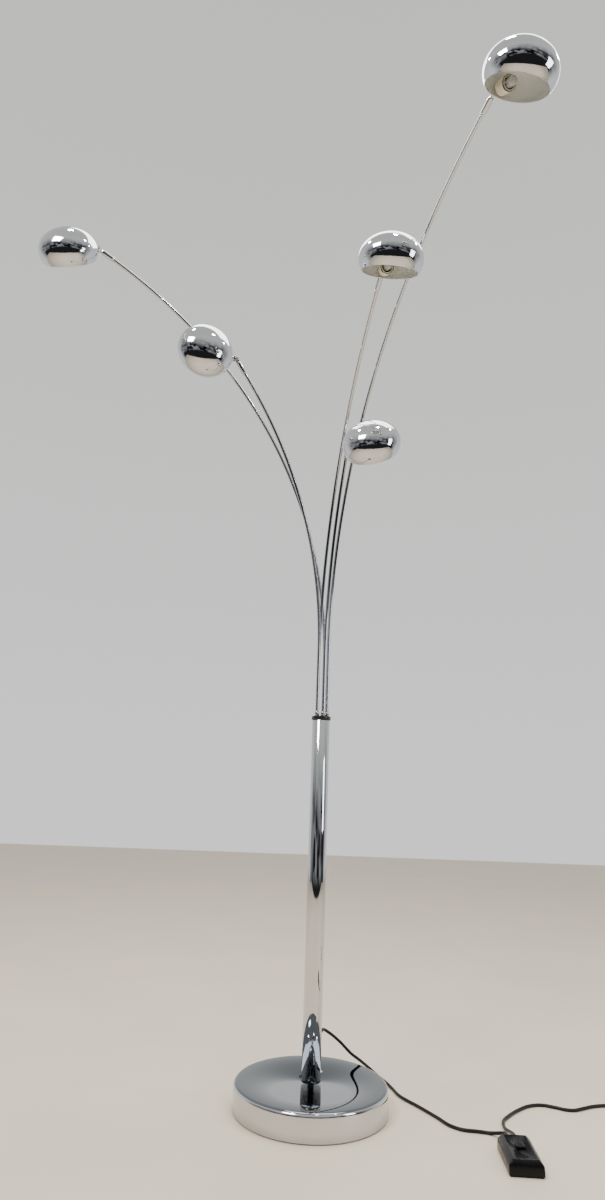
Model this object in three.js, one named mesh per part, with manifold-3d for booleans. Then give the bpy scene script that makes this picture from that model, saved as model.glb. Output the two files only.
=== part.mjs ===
// Arc floor lamp: a round weighted base, a short pole, and five bent tube arms
// that fan out of the pole cap, each ending in a small dome shade.
// Units are millimetres, +Z is up, the room side of the lamp is -Y.
// The origin is the middle of the underside of the base.
import * as THREE from 'three';
import { mergeVertices } from 'three/addons/utils/BufferGeometryUtils.js';
import Module from 'manifold-3d';

const wasm = await Module();
wasm.setup();

// Clearance left between neighbouring pieces.
const GAP = 0.3;

// Base
const BASE_DIAMETER = 300;
const BASE_HEIGHT = 48;
const BASE_EDGE_RADIUS = 8;
const COVER_WALL = 1.5;
const COVER_LIFT = 1.6;
const PAD_THICKNESS = 3;
const STUD_RADIUS = 6;
const NUT_RADIUS = 9.5;
const NUT_HEIGHT = 6;
const WASHER_RADIUS = 14;
const WASHER_THICKNESS = 2.4;
const RECESS_RADIUS = 17;
const NUT_LIFT = 2.1;
const STUD_LIFT = 1.5;
const WEIGHT_INSET = 2;
const PAD_INSET = 3;

// Pole
const POLE_DIAMETER = 38;
const POLE_WALL = 1.5;
const POLE_TOP = 743;
const CAP_OVERHANG = 2;
const CAP_THICKNESS = 7.7;
const CAP_SPIGOT = 15;
const GUIDE_DROP = 56;
const GUIDE_THICKNESS = 4;
const HOLE_PITCH_RADIUS = 12;
const FOOT_PLUG_HEIGHT = 26;
const TERMINAL = { width: 10, depth: 9, height: 26, wireHole: 1.4, wireSpacing: 5 };

// Arms
const TUBE_RADIUS = 3.75;
const TUBE_WALL = 1;
const BEND_RADIUS = 940;
const STRAIGHT_END = 32;
const TUBE_BELOW_CAP = 68;
const STOP_RADIUS = 5;
const STOP_HEIGHT = 9;
const SLEEVE_RADIUS = 5.5;
const SLEEVE_LENGTH = 28;
const SLEEVE_TIP_RADIUS = 4;
const SLEEVE_END = 3.7;
const PIVOT_OFFSET = 11;
const TONGUE_THICKNESS = 4;
const CHEEK_THICKNESS = 2.2;
const CHEEK_RADIUS = 4.5;
const PIVOT_RADIUS = 1.5;
const PIVOT_HEAD_RADIUS = 3.2;
const PIVOT_HEAD = 1.5;

// Shades
const SHADE_DIAMETER = 125;
const DOME_HEIGHT = 47.5;
const SKIRT_DROP = 22.5;
const DOME_ROWS = 6;
const SHADE_WALL = 1.2;
const SHADE_STANDOFF = 11;
const JOINT_DROP = 6.25;
const BOSS_RADIUS = 6.5;
const HUB_RADIUS = 6;
const HUB_THICKNESS = 3.4;
const NIPPLE_RADIUS = 3;
const HOLDER_RADIUS = 13;
const HOLDER_LENGTH = 29;
const HOLDER_WALL = 2.5;
const HOLDER_FLOOR = 5;
const HOLDER_TAPER = 5;
const BULB_RADIUS = 7.5;
const BULB_LENGTH = 40;
const BULB_NECK = { radius: 6, length: 12, shoulder: 3 };
const BULB_CROWN = { height: 6, crease: 1.5, width: 0.72 };

// Each arm: the azimuth of its hole in the cap, the azimuth it bends to, the straight length
// above the cap, the whole length above the cap, the turn of its end sleeve on the tube, the
// tilt of the shade at the pivot and the turn of the shade about its own stem (mm, degrees).
const ARMS = [
  { name: 'arm_1', hole: 72, bend: -156, straight: 121, length: 1226, sleeve: 6, tilt: 58.5, roll: -45.7 },
  { name: 'arm_2', hole: -144, bend: -148.5, straight: 149, length: 839, sleeve: -10.4, tilt: 55.3, roll: -72.6 },
  { name: 'arm_3', hole: 144, bend: -75.8, straight: 90, length: 962, sleeve: -6, tilt: 65.7, roll: 5.8 },
  { name: 'arm_4', hole: -72, bend: -74.3, straight: 110, length: 604, sleeve: 26.3, tilt: 92.1, roll: 30 },
  { name: 'arm_5', hole: 0, bend: -68.4, straight: 135, length: 1308, sleeve: 1.5, tilt: 50.1, roll: 0.9 },
];

// Foot dimmer on the mains lead
const DIMMER = { x: 350, y: -186, turn: -3.5, width: 58, length: 98, height: 25 };
const DIMMER_WALL = 2.2;
const DIMMER_CHAMFER = 8;
const DIMMER_SHADOW_GAP = 2;
const DIMMER_FLOOR = 3.5;
const SLIDER = { width: 14, length: 16, rise: 4, chamfer: 1.5, stem: 5, stemLength: 10, travel: 15 };

// Mains lead
const CORD_DIAMETER = 6;
const CORD_STEP = 2.9 * CORD_DIAMETER;
const CORD_LIFT = 0.2;
const CORD_SAG = 0.4;
const RELIEF_LENGTH = 26;
const RELIEF_INSIDE = 4;
const RELIEF_COLLAR = 1.5;
const RELIEF_ROOT_RADIUS = 5.6;
const RELIEF_TIP_RADIUS = 4.2;
const CORD_HOLE_HEIGHT = 125;
const CORD_HOLE_AZIMUTH = 65;
const DIMMER_RELIEF_LENGTH = 22;
const DIMMER_RELIEF_RADIUS = 5;
const DIMMER_RELIEF_INSIDE = 6;
const DIMMER_RELIEF_COLLAR = 2;
const DIMMER_CORD_SPACING = 15;
const COIL = { x: 675, y: 96, meanRadius: 33, layers: 2 };
const TIE = { thickness: 1.2, width: 9 };
const PLUG = {
  x: 770,
  y: 72,
  width: 34,
  length: 34,
  height: 14,
  neck: 13,
  relief: 20,
  pinRadius: 2,
  pinLength: 19,
  pinSpacing: 19,
};

const rad = THREE.MathUtils.degToRad;

function material(color, roughness, metalness) {
  return new THREE.MeshStandardMaterial({ color, roughness, metalness });
}

const CHROME = material(0xd8dadd, 0.08, 1);
const SHADE_CHROME = material(0xd2d4d8, 0.1, 1);
const STEEL = material(0x9a9c9f, 0.35, 1);
const IRON = material(0x3a3a3c, 0.8, 0.6);
const BLACK = material(0x141415, 0.45, 0);
const RUBBER = material(0x1b1b1c, 0.75, 0);
const CREAM = material(0xe6dfcd, 0.5, 0);
const GLASS = material(0xd9dbd8, 0.15, 0);
const BRASS = material(0xb59a5c, 0.35, 1);

// Turns a closed geometry into a solid that can be joined and cut.
function solid(geometry, matrix) {
  const clean = geometry.clone();
  clean.deleteAttribute('normal');
  clean.deleteAttribute('uv');
  if (matrix) {
    clean.applyMatrix4(matrix);
  }
  const merged = mergeVertices(clean, 1e-3);
  const mesh = new wasm.Mesh({
    numProp: 3,
    vertProperties: new Float32Array(merged.attributes.position.array),
    triVerts: new Uint32Array(merged.index.array),
  });
  return new wasm.Manifold(mesh);
}

// Turns a joined or cut solid back into a geometry.
function geometryOf(manifold) {
  const mesh = manifold.getMesh();
  const geometry = new THREE.BufferGeometry();
  geometry.setAttribute('position', new THREE.BufferAttribute(new Float32Array(mesh.vertProperties), 3));
  geometry.setIndex(new THREE.BufferAttribute(new Uint32Array(mesh.triVerts), 1));
  geometry.computeVertexNormals();
  return geometry;
}

// A body of revolution about Z. The profile runs upwards along the outside as [radius, z]
// pairs and is closed through the axis or back to its first point.
function lathe(profile, segments) {
  const points = profile.map(([radius, z]) => new THREE.Vector2(radius, z));
  const last = profile[profile.length - 1];
  const endsOnAxis = profile[0][0] === 0 && last[0] === 0;
  if (!endsOnAxis) {
    points.push(points[0].clone());
  }
  const geometry = new THREE.LatheGeometry(points, segments);
  geometry.rotateX(Math.PI / 2);
  return geometry;
}

// A ring or tube of revolution between two radii and two heights.
function ring(inner, outer, bottom, top, segments) {
  return lathe([[outer, bottom], [outer, top], [inner, top], [inner, bottom]], segments);
}

function disc(radius, bottom, top, segments) {
  return lathe([[0, bottom], [radius, bottom], [radius, top], [0, top]], segments);
}

function circlePoints(radius, sides) {
  const points = [];
  for (let i = 0; i < sides; i += 1) {
    const angle = ((i + 0.5) / sides) * 2 * Math.PI;
    points.push(new THREE.Vector2(radius * Math.cos(angle), radius * Math.sin(angle)));
  }
  return points;
}

function addMesh(parent, name, geometry, look) {
  const mesh = new THREE.Mesh(geometry, look);
  mesh.name = name;
  parent.add(mesh);
  return mesh;
}

function turnedGroup(parent, x, y, z, axis, degrees) {
  const group = new THREE.Group();
  group.position.set(x, y, z);
  group.rotation[axis] = rad(degrees);
  parent.add(group);
  return group;
}

const lamp = new THREE.Group();

// ---------------------------------------------------------------- base and pole

const baseRadius = BASE_DIAMETER / 2;
const coverInside = baseRadius - COVER_WALL;
const coverUnderside = BASE_HEIGHT - COVER_WALL;
const flatRadius = baseRadius - BASE_EDGE_RADIUS;
const studHole = STUD_RADIUS + GAP;
const weightBottom = PAD_THICKNESS + GAP;
const weightTop = coverUnderside - GAP;
const EDGE_STEPS = 3;

function edgeArc(radius, upwards) {
  const points = [];
  for (let i = 0; i <= EDGE_STEPS; i += 1) {
    const step = upwards ? i : EDGE_STEPS - i;
    const angle = (step / EDGE_STEPS) * (Math.PI / 2);
    const centreZ = BASE_HEIGHT - BASE_EDGE_RADIUS;
    points.push([flatRadius + radius * Math.cos(angle), centreZ + radius * Math.sin(angle)]);
  }
  return points;
}

const coverProfile = [
  [baseRadius, COVER_LIFT],
  ...edgeArc(BASE_EDGE_RADIUS, true),
  [studHole, BASE_HEIGHT],
  [studHole, coverUnderside],
  ...edgeArc(BASE_EDGE_RADIUS - COVER_WALL, false),
  [coverInside, COVER_LIFT],
];
addMesh(lamp, 'base_cover', lathe(coverProfile, 44), CHROME);

const weightRadius = coverInside - WEIGHT_INSET;
const weightShoulder = BASE_EDGE_RADIUS + 1;
const washerBottom = weightBottom + NUT_LIFT + NUT_HEIGHT + GAP;
const recessTop = washerBottom + WASHER_THICKNESS + GAP;
const weightProfile = [
  [weightRadius, weightBottom],
  [weightRadius, weightTop - weightShoulder],
  [weightRadius - weightShoulder, weightTop],
  [studHole, weightTop],
  [studHole, recessTop],
  [RECESS_RADIUS, recessTop],
  [RECESS_RADIUS, weightBottom],
];
addMesh(lamp, 'base_weight', lathe(weightProfile, 32), IRON);
addMesh(lamp, 'base_pad', disc(coverInside - PAD_INSET, 0, PAD_THICKNESS, 40), RUBBER);

const poleRadius = POLE_DIAMETER / 2;
const poleInside = poleRadius - POLE_WALL;
const plugRadius = poleInside - GAP;
const poleBottom = BASE_HEIGHT + GAP;
const studBottom = PAD_THICKNESS + STUD_LIFT;
const footProfile = [
  [0, studBottom],
  [STUD_RADIUS, studBottom],
  [STUD_RADIUS, poleBottom],
  [plugRadius, poleBottom],
  [plugRadius, poleBottom + FOOT_PLUG_HEIGHT],
  [0, poleBottom + FOOT_PLUG_HEIGHT],
];
addMesh(lamp, 'pole_foot', lathe(footProfile, 24), STEEL);
const washerTop = washerBottom + WASHER_THICKNESS;
addMesh(lamp, 'foot_washer', ring(studHole, WASHER_RADIUS, washerBottom, washerTop, 20), STEEL);
const nutTop = washerBottom - GAP;
const nutShape = new THREE.Shape(circlePoints(NUT_RADIUS, 6));
nutShape.holes.push(new THREE.Path(circlePoints(studHole, 16)));
const nut = new THREE.ExtrudeGeometry(nutShape, { depth: NUT_HEIGHT, bevelEnabled: false });
addMesh(lamp, 'foot_nut', nut, STEEL).position.z = nutTop - NUT_HEIGHT;

// The cord leaves the back of the pole through a round hole lined by its strain relief.
const cordHoleRadius = RELIEF_ROOT_RADIUS + GAP;
const cordExit = turnedGroup(lamp, 0, 0, CORD_HOLE_HEIGHT, 'z', CORD_HOLE_AZIMUTH);
const towardsX = new THREE.Matrix4().makeRotationY(Math.PI / 2);
const cordHoleCutter = disc(cordHoleRadius, 0, POLE_DIAMETER, 16);
const cordHolePlace = new THREE.Matrix4()
  .makeTranslation(0, 0, CORD_HOLE_HEIGHT)
  .multiply(new THREE.Matrix4().makeRotationZ(rad(CORD_HOLE_AZIMUTH)))
  .multiply(towardsX);
const poleTube = solid(ring(poleInside, poleRadius, poleBottom, POLE_TOP, 32))
  .subtract(solid(cordHoleCutter, cordHolePlace));
addMesh(lamp, 'pole_tube', geometryOf(poleTube), CHROME);

const reliefStart = poleInside - RELIEF_INSIDE;
const reliefEnd = poleRadius + RELIEF_LENGTH;
const reliefProfile = [
  [0, reliefStart],
  [RELIEF_ROOT_RADIUS, reliefStart],
  [RELIEF_ROOT_RADIUS, poleRadius + RELIEF_COLLAR],
  [RELIEF_TIP_RADIUS, reliefEnd],
  [0, reliefEnd],
];
const relief = addMesh(cordExit, 'cord_grommet', lathe(reliefProfile, 16), RUBBER);
relief.rotation.y = Math.PI / 2;

// ---------------------------------------------------------------- cap, guide and terminal block

const capTop = POLE_TOP + GAP + CAP_THICKNESS;
const capRadius = poleRadius + CAP_OVERHANG;
const tubeHole = TUBE_RADIUS + GAP;

function withArmHoles(geometry, bottom, top) {
  const cutter = disc(tubeHole, bottom - 1, top + 1, 10);
  return ARMS.reduce((body, arm) => {
    const angle = rad(arm.hole);
    const place = new THREE.Matrix4().makeTranslation(
      HOLE_PITCH_RADIUS * Math.cos(angle),
      HOLE_PITCH_RADIUS * Math.sin(angle),
      0,
    );
    return body.subtract(solid(cutter, place));
  }, solid(geometry));
}

const spigotBottom = POLE_TOP - CAP_SPIGOT;
const capProfile = [
  [0, spigotBottom],
  [plugRadius, spigotBottom],
  [plugRadius, POLE_TOP + GAP],
  [capRadius, POLE_TOP + GAP],
  [capRadius, capTop - 1],
  [capRadius - 1, capTop],
  [0, capTop],
];
const cap = withArmHoles(lathe(capProfile, 32), spigotBottom, capTop);
addMesh(lamp, 'pole_cap', geometryOf(cap), BLACK);

const guideTop = POLE_TOP - GUIDE_DROP + GUIDE_THICKNESS;
const guideBottom = POLE_TOP - GUIDE_DROP;
const guide = withArmHoles(disc(plugRadius, guideBottom, guideTop, 24), guideBottom, guideTop);
addMesh(lamp, 'guide_plate', geometryOf(guide), BLACK);

function wireHole(x) {
  const path = new THREE.Path();
  path.absarc(x, 0, TERMINAL.wireHole, 0, 2 * Math.PI, false);
  return path;
}

const terminalShape = new THREE.Shape();
terminalShape.moveTo(-TERMINAL.width / 2, -TERMINAL.depth / 2);
terminalShape.lineTo(TERMINAL.width / 2, -TERMINAL.depth / 2);
terminalShape.lineTo(TERMINAL.width / 2, TERMINAL.depth / 2);
terminalShape.lineTo(-TERMINAL.width / 2, TERMINAL.depth / 2);
terminalShape.closePath();
terminalShape.holes.push(wireHole(-TERMINAL.wireSpacing / 2), wireHole(TERMINAL.wireSpacing / 2));
const terminal = new THREE.ExtrudeGeometry(terminalShape, {
  depth: TERMINAL.height,
  bevelEnabled: false,
  curveSegments: 4,
});
const terminalMesh = addMesh(lamp, 'terminal_block', terminal, CREAM);
terminalMesh.position.z = guideBottom - GAP - TERMINAL.height;

// ---------------------------------------------------------------- arms

// The centre line of an arm tube in its own plane: straight up from its lower end, a bend
// of constant radius towards +X, and a short straight end. The stations are the ends of
// the straight stretches and equal steps of the bend.
class ArmCurve extends THREE.Curve {
  constructor(below, straight, length) {
    super();
    const turn = (length - straight - STRAIGHT_END) / BEND_RADIUS;
    const steps = Math.max(4, Math.ceil(turn / rad(5.5)));
    this.stations = [{ x: 0, z: -below, angle: 0 }, { x: 0, z: straight / 2, angle: 0 }];
    for (let i = 0; i <= steps; i += 1) {
      const angle = (turn * i) / steps;
      const x = BEND_RADIUS * (1 - Math.cos(angle));
      const z = straight + BEND_RADIUS * Math.sin(angle);
      this.stations.push({ x, z, angle });
    }
    const bendEnd = this.stations[this.stations.length - 1];
    const x = bendEnd.x + STRAIGHT_END * Math.sin(turn);
    const z = bendEnd.z + STRAIGHT_END * Math.cos(turn);
    this.stations.push({ x, z, angle: turn });
    this.end = this.stations[this.stations.length - 1];
    this.steps = this.stations.length - 1;
  }

  at(u) {
    return this.stations[Math.round(u * this.steps)];
  }

  getUtoTmapping(u) {
    return u;
  }

  getPoint(t, target = new THREE.Vector3()) {
    const station = this.at(t);
    return target.set(station.x, 0, station.z);
  }

  getTangent(t, target = new THREE.Vector3()) {
    const { angle } = this.at(t);
    return target.set(Math.sin(angle), 0, Math.cos(angle));
  }
}

function armTubeGeometry(curve) {
  const section = new THREE.Shape(circlePoints(TUBE_RADIUS, 8));
  section.holes.push(new THREE.Path(circlePoints(TUBE_RADIUS - TUBE_WALL, 6)));
  const tube = new THREE.ExtrudeGeometry(section, {
    steps: curve.steps,
    extrudePath: curve,
    bevelEnabled: false,
  });
  const stop = ring(TUBE_RADIUS - TUBE_WALL / 2, STOP_RADIUS, GAP, GAP + STOP_HEIGHT, 12);
  return geometryOf(solid(tube).add(solid(stop)));
}

// A flat plate in the XZ plane with a round end about the pivot and a straight end, centred
// on y, reaching from the pivot to z = reach.
function pivotPlate(reach, thickness, y) {
  const shape = new THREE.Shape();
  const side = Math.sign(reach);
  shape.moveTo(CHEEK_RADIUS, side * Math.abs(reach));
  shape.lineTo(CHEEK_RADIUS, 0);
  shape.absarc(0, 0, CHEEK_RADIUS, 0, side * -Math.PI, side > 0);
  shape.lineTo(-CHEEK_RADIUS, side * Math.abs(reach));
  shape.closePath();
  const hole = new THREE.Path();
  hole.absarc(0, 0, PIVOT_RADIUS + GAP, 0, 2 * Math.PI, false);
  shape.holes.push(hole);
  const plate = new THREE.ExtrudeGeometry(shape, {
    depth: thickness,
    bevelEnabled: false,
    curveSegments: 4,
  });
  plate.rotateX(Math.PI / 2);
  plate.translate(0, y + thickness / 2, 0);
  return plate;
}

// The sleeve slides over the tube end and carries the pivot tongue. Its frame has the pivot
// at the origin and the tube below it.
const tubeEnd = -PIVOT_OFFSET;
const sleeveProfile = [
  [SLEEVE_RADIUS, tubeEnd - SLEEVE_LENGTH],
  [SLEEVE_RADIUS, tubeEnd],
  [SLEEVE_TIP_RADIUS, tubeEnd + SLEEVE_END],
  [0, tubeEnd + SLEEVE_END],
  [0, tubeEnd + GAP],
  [tubeHole, tubeEnd + GAP],
  [tubeHole, tubeEnd - SLEEVE_LENGTH],
];
const sleeveSolid = solid(lathe(sleeveProfile, 14))
  .add(solid(pivotPlate(tubeEnd + SLEEVE_END - 1, TONGUE_THICKNESS, 0)));
const sleeveGeometry = geometryOf(sleeveSolid);

const cheekInner = TONGUE_THICKNESS / 2 + GAP;
const cheekOuter = cheekInner + CHEEK_THICKNESS;
const headInner = cheekOuter + GAP;
const headOuter = headInner + PIVOT_HEAD;
const screwProfile = [
  [0, -headOuter],
  [PIVOT_HEAD_RADIUS, -headOuter],
  [PIVOT_HEAD_RADIUS, -headInner],
  [PIVOT_RADIUS, -headInner],
  [PIVOT_RADIUS, headInner],
  [PIVOT_HEAD_RADIUS, headInner],
  [PIVOT_HEAD_RADIUS, headOuter],
  [0, headOuter],
];
const screwGeometry = lathe(screwProfile, 12);
screwGeometry.rotateX(Math.PI / 2);

// ---------------------------------------------------------------- shade head
// The head's frame has the tilt pivot at the origin, the stem along +Z and the top of the
// dome towards -X. The stem enters the side of the dome a little below its widest line.

const shadeRadius = SHADE_DIAMETER / 2;
const domeCentreZ = SHADE_STANDOFF + shadeRadius;
const seatZ = SHADE_STANDOFF - GAP;
const hubTop = seatZ - GAP;
const innerRadius = shadeRadius - SHADE_WALL;
const innerHeight = DOME_HEIGHT - SHADE_WALL;
const innerSeatZ = domeCentreZ
  - innerRadius * Math.sqrt(1 - ((JOINT_DROP + BOSS_RADIUS) / innerHeight) ** 2)
  + SHADE_WALL;
const holderStart = innerSeatZ + GAP;
const nippleTop = holderStart + HOLDER_FLOOR - 1;

const hub = lathe([
  [0, hubTop - HUB_THICKNESS],
  [HUB_RADIUS, hubTop - HUB_THICKNESS],
  [HUB_RADIUS, hubTop],
  [NIPPLE_RADIUS, hubTop],
  [NIPPLE_RADIUS, nippleTop],
  [0, nippleTop],
], 12);
const cheekReach = hubTop - HUB_THICKNESS / 2;
const knuckleSolid = solid(hub)
  .add(solid(pivotPlate(cheekReach, CHEEK_THICKNESS, cheekInner + CHEEK_THICKNESS / 2)))
  .add(solid(pivotPlate(cheekReach, CHEEK_THICKNESS, -cheekInner - CHEEK_THICKNESS / 2)));
const knuckleGeometry = geometryOf(knuckleSolid);

// Points of the dome's ellipse from the rim up to the crown.
function domeArc(radius, height, rows) {
  const rimAngle = -Math.asin(SKIRT_DROP / height);
  const points = [];
  for (let i = 0; i <= rows; i += 1) {
    const angle = rimAngle + ((Math.PI / 2 - rimAngle) * i) / rows;
    const r = i === rows ? 0 : radius * Math.cos(angle);
    points.push([r, height * Math.sin(angle)]);
  }
  return points;
}

function shadeGeometry() {
  const outside = domeArc(shadeRadius, DOME_HEIGHT, DOME_ROWS);
  const inside = domeArc(innerRadius, innerHeight, DOME_ROWS).reverse();
  const shell = lathe([[0, innerHeight], ...inside.slice(1), ...outside], 20);
  const toHead = new THREE.Matrix4()
    .makeTranslation(-JOINT_DROP, 0, domeCentreZ)
    .multiply(new THREE.Matrix4().makeRotationY(-Math.PI / 2));
  const boss = disc(BOSS_RADIUS, seatZ, innerSeatZ, 16);
  const bore = disc(NIPPLE_RADIUS + GAP, 0, innerSeatZ + 5, 12);
  return geometryOf(solid(shell, toHead).add(solid(boss)).subtract(solid(bore)));
}

const holderMouth = holderStart + HOLDER_LENGTH;
const holderCavity = holderStart + HOLDER_FLOOR;
const holderGeometry = lathe([
  [BOSS_RADIUS, holderStart],
  [HOLDER_RADIUS, holderStart + HOLDER_TAPER],
  [HOLDER_RADIUS, holderMouth],
  [HOLDER_RADIUS - HOLDER_WALL, holderMouth],
  [HOLDER_RADIUS - HOLDER_WALL, holderCavity],
  [NIPPLE_RADIUS + GAP, holderCavity],
  [NIPPLE_RADIUS + GAP, holderStart],
], 16);

const bulbStart = holderCavity + GAP;
const bulbTop = bulbStart + BULB_LENGTH;
const bulbGeometry = lathe([
  [0, bulbStart],
  [BULB_NECK.radius, bulbStart],
  [BULB_NECK.radius, bulbStart + BULB_NECK.length],
  [BULB_RADIUS, bulbStart + BULB_NECK.length + BULB_NECK.shoulder],
  [BULB_RADIUS, bulbTop - BULB_CROWN.height],
  [BULB_RADIUS * BULB_CROWN.width, bulbTop - BULB_CROWN.crease],
  [0, bulbTop],
], 16);

const shadeShape = shadeGeometry();

for (const arm of ARMS) {
  const angle = rad(arm.hole);
  const x = HOLE_PITCH_RADIUS * Math.cos(angle);
  const y = HOLE_PITCH_RADIUS * Math.sin(angle);
  const root = turnedGroup(lamp, x, y, capTop, 'z', arm.bend);
  const curve = new ArmCurve(TUBE_BELOW_CAP, arm.straight, arm.length);
  addMesh(root, `${arm.name}_tube`, armTubeGeometry(curve), CHROME);

  const { end } = curve;
  const tip = new THREE.Group();
  tip.position.set(
    end.x + PIVOT_OFFSET * Math.sin(end.angle),
    0,
    end.z + PIVOT_OFFSET * Math.cos(end.angle),
  );
  tip.rotation.y = end.angle;
  root.add(tip);
  const fitting = turnedGroup(tip, 0, 0, 0, 'z', arm.sleeve);
  addMesh(fitting, `${arm.name}_sleeve`, sleeveGeometry, CHROME);
  addMesh(fitting, `${arm.name}_pivot_screw`, screwGeometry, STEEL);

  const knuckle = turnedGroup(fitting, 0, 0, 0, 'y', arm.tilt);
  addMesh(knuckle, `${arm.name}_knuckle`, knuckleGeometry, CHROME);

  const head = turnedGroup(knuckle, 0, 0, 0, 'z', arm.roll);
  addMesh(head, `${arm.name}_shade`, shadeShape, SHADE_CHROME);
  addMesh(head, `${arm.name}_lampholder`, holderGeometry, CREAM);
  addMesh(head, `${arm.name}_bulb`, bulbGeometry, GLASS);
}

// ---------------------------------------------------------------- foot dimmer
// The dimmer's frame has its long side along Y and both cords at its +Y end.

const dimmer = turnedGroup(lamp, DIMMER.x, DIMMER.y, 0, 'z', DIMMER.turn);

// A long box with its two upper long edges cut off, standing on z = bottom.
function dimmerBlock(width, length, bottom, top, chamfer) {
  const shape = new THREE.Shape();
  shape.moveTo(-width / 2, bottom);
  shape.lineTo(width / 2, bottom);
  shape.lineTo(width / 2, top - chamfer);
  shape.lineTo(width / 2 - chamfer, top);
  shape.lineTo(-width / 2 + chamfer, top);
  shape.lineTo(-width / 2, top - chamfer);
  shape.closePath();
  const block = new THREE.ExtrudeGeometry(shape, { depth: length, bevelEnabled: false });
  block.rotateX(Math.PI / 2);
  block.translate(0, length / 2, 0);
  return block;
}

const portHeight = DIMMER.height / 2 - 1;
const slotWidth = SLIDER.stem + 2 * GAP;
const slotLength = SLIDER.stemLength + 2 * SLIDER.travel + 2 * GAP;
const coverOuter = dimmerBlock(DIMMER.width, DIMMER.length, DIMMER_SHADOW_GAP, DIMMER.height, DIMMER_CHAMFER);
const coverHollow = dimmerBlock(
  DIMMER.width - 2 * DIMMER_WALL,
  DIMMER.length - 2 * DIMMER_WALL,
  DIMMER_SHADOW_GAP - 1,
  DIMMER.height - DIMMER_WALL,
  DIMMER_CHAMFER - 1,
);
const slotCutter = new THREE.BoxGeometry(slotWidth, slotLength, 4 * DIMMER_WALL);
const slotPlace = new THREE.Matrix4().makeTranslation(0, 0, DIMMER.height);
const reliefCutter = disc(DIMMER_RELIEF_RADIUS + GAP, 0, 4 * DIMMER_WALL, 16);
const towardsY = new THREE.Matrix4().makeRotationX(-Math.PI / 2);
const cordSides = [-1, 1];

function dimmerPort(side, y) {
  return new THREE.Matrix4()
    .makeTranslation((side * DIMMER_CORD_SPACING) / 2, y, portHeight)
    .multiply(towardsY);
}

let dimmerCover = solid(coverOuter).subtract(solid(coverHollow)).subtract(solid(slotCutter, slotPlace));
for (const side of cordSides) {
  const port = dimmerPort(side, DIMMER.length / 2 - 2 * DIMMER_WALL);
  dimmerCover = dimmerCover.subtract(solid(reliefCutter, port));
}
addMesh(dimmer, 'dimmer_cover', geometryOf(dimmerCover), BLACK);

const floorWidth = DIMMER.width - 2 * (DIMMER_WALL + GAP);
const floorLength = DIMMER.length - 2 * (DIMMER_WALL + GAP);
const dimmerFloor = new THREE.BoxGeometry(floorWidth, floorLength, DIMMER_FLOOR);
addMesh(dimmer, 'dimmer_base', dimmerFloor, BLACK).position.z = DIMMER_FLOOR / 2;

const sliderBottom = DIMMER.height + GAP;
const sliderStem = new THREE.BoxGeometry(SLIDER.stem, SLIDER.stemLength, 2 * DIMMER_WALL + SLIDER.rise);
const stemPlace = new THREE.Matrix4().makeTranslation(0, 0, sliderBottom + SLIDER.rise / 2 - DIMMER_WALL);
const sliderTop = sliderBottom + SLIDER.rise;
const sliderCap = dimmerBlock(SLIDER.width, SLIDER.length, sliderBottom, sliderTop, SLIDER.chamfer);
const slider = solid(sliderCap).add(solid(sliderStem, stemPlace));
addMesh(dimmer, 'dimmer_slider', geometryOf(slider), BLACK);

const dimmerEnd = DIMMER.length / 2;
const dimmerReliefProfile = [
  [0, -DIMMER_RELIEF_INSIDE],
  [DIMMER_RELIEF_RADIUS, -DIMMER_RELIEF_INSIDE],
  [DIMMER_RELIEF_RADIUS, DIMMER_RELIEF_COLLAR],
  [RELIEF_TIP_RADIUS, DIMMER_RELIEF_LENGTH],
  [0, DIMMER_RELIEF_LENGTH],
];
cordSides.forEach((side, index) => {
  const mesh = addMesh(dimmer, `dimmer_relief_${index + 1}`, lathe(dimmerReliefProfile, 16), RUBBER);
  mesh.rotation.x = -Math.PI / 2;
  mesh.position.set((side * DIMMER_CORD_SPACING) / 2, dimmerEnd, portHeight);
});

// ---------------------------------------------------------------- mains lead

// A point in the world given in the dimmer's frame.
function fromDimmer(x, y, z) {
  return new THREE.Vector3(x, y, z).applyAxisAngle(new THREE.Vector3(0, 0, 1), rad(DIMMER.turn))
    .add(new THREE.Vector3(DIMMER.x, DIMMER.y, 0));
}

function fromCordHole(distance, drop) {
  const angle = rad(CORD_HOLE_AZIMUTH);
  return new THREE.Vector3(distance * Math.cos(angle), distance * Math.sin(angle), CORD_HOLE_HEIGHT - drop);
}

const cordRadius = CORD_DIAMETER / 2;
const floorLine = cordRadius + CORD_LIFT;

function onFloor(pairs) {
  return pairs.map(([x, y]) => new THREE.Vector3(x, y, floorLine));
}

const cordOneX = -DIMMER_CORD_SPACING / 2;
const cordTwoX = DIMMER_CORD_SPACING / 2;
const cordStart = reliefEnd + GAP;
const cordIntoDimmer = dimmerEnd + DIMMER_RELIEF_LENGTH + GAP;
const straightOut = 2 * CORD_DIAMETER;
const leadToDimmer = [
  fromCordHole(cordStart, 0),
  fromCordHole(cordStart + straightOut, CORD_SAG),
  new THREE.Vector3(40, 66, 113),
  new THREE.Vector3(62, 82, 93),
  new THREE.Vector3(84, 96, 70),
  new THREE.Vector3(106, 112, 51.6),
  new THREE.Vector3(126, 126, 34),
  new THREE.Vector3(145, 136, 17),
  new THREE.Vector3(162, 134, 6),
  ...onFloor([[172, 112], [183, 72], [214, 22], [242, -26], [258, -56], [278, -72], [305, -77], [326, -82]]),
  fromDimmer(cordOneX, cordIntoDimmer + straightOut, portHeight - CORD_SAG),
  fromDimmer(cordOneX, cordIntoDimmer, portHeight),
];
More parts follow.
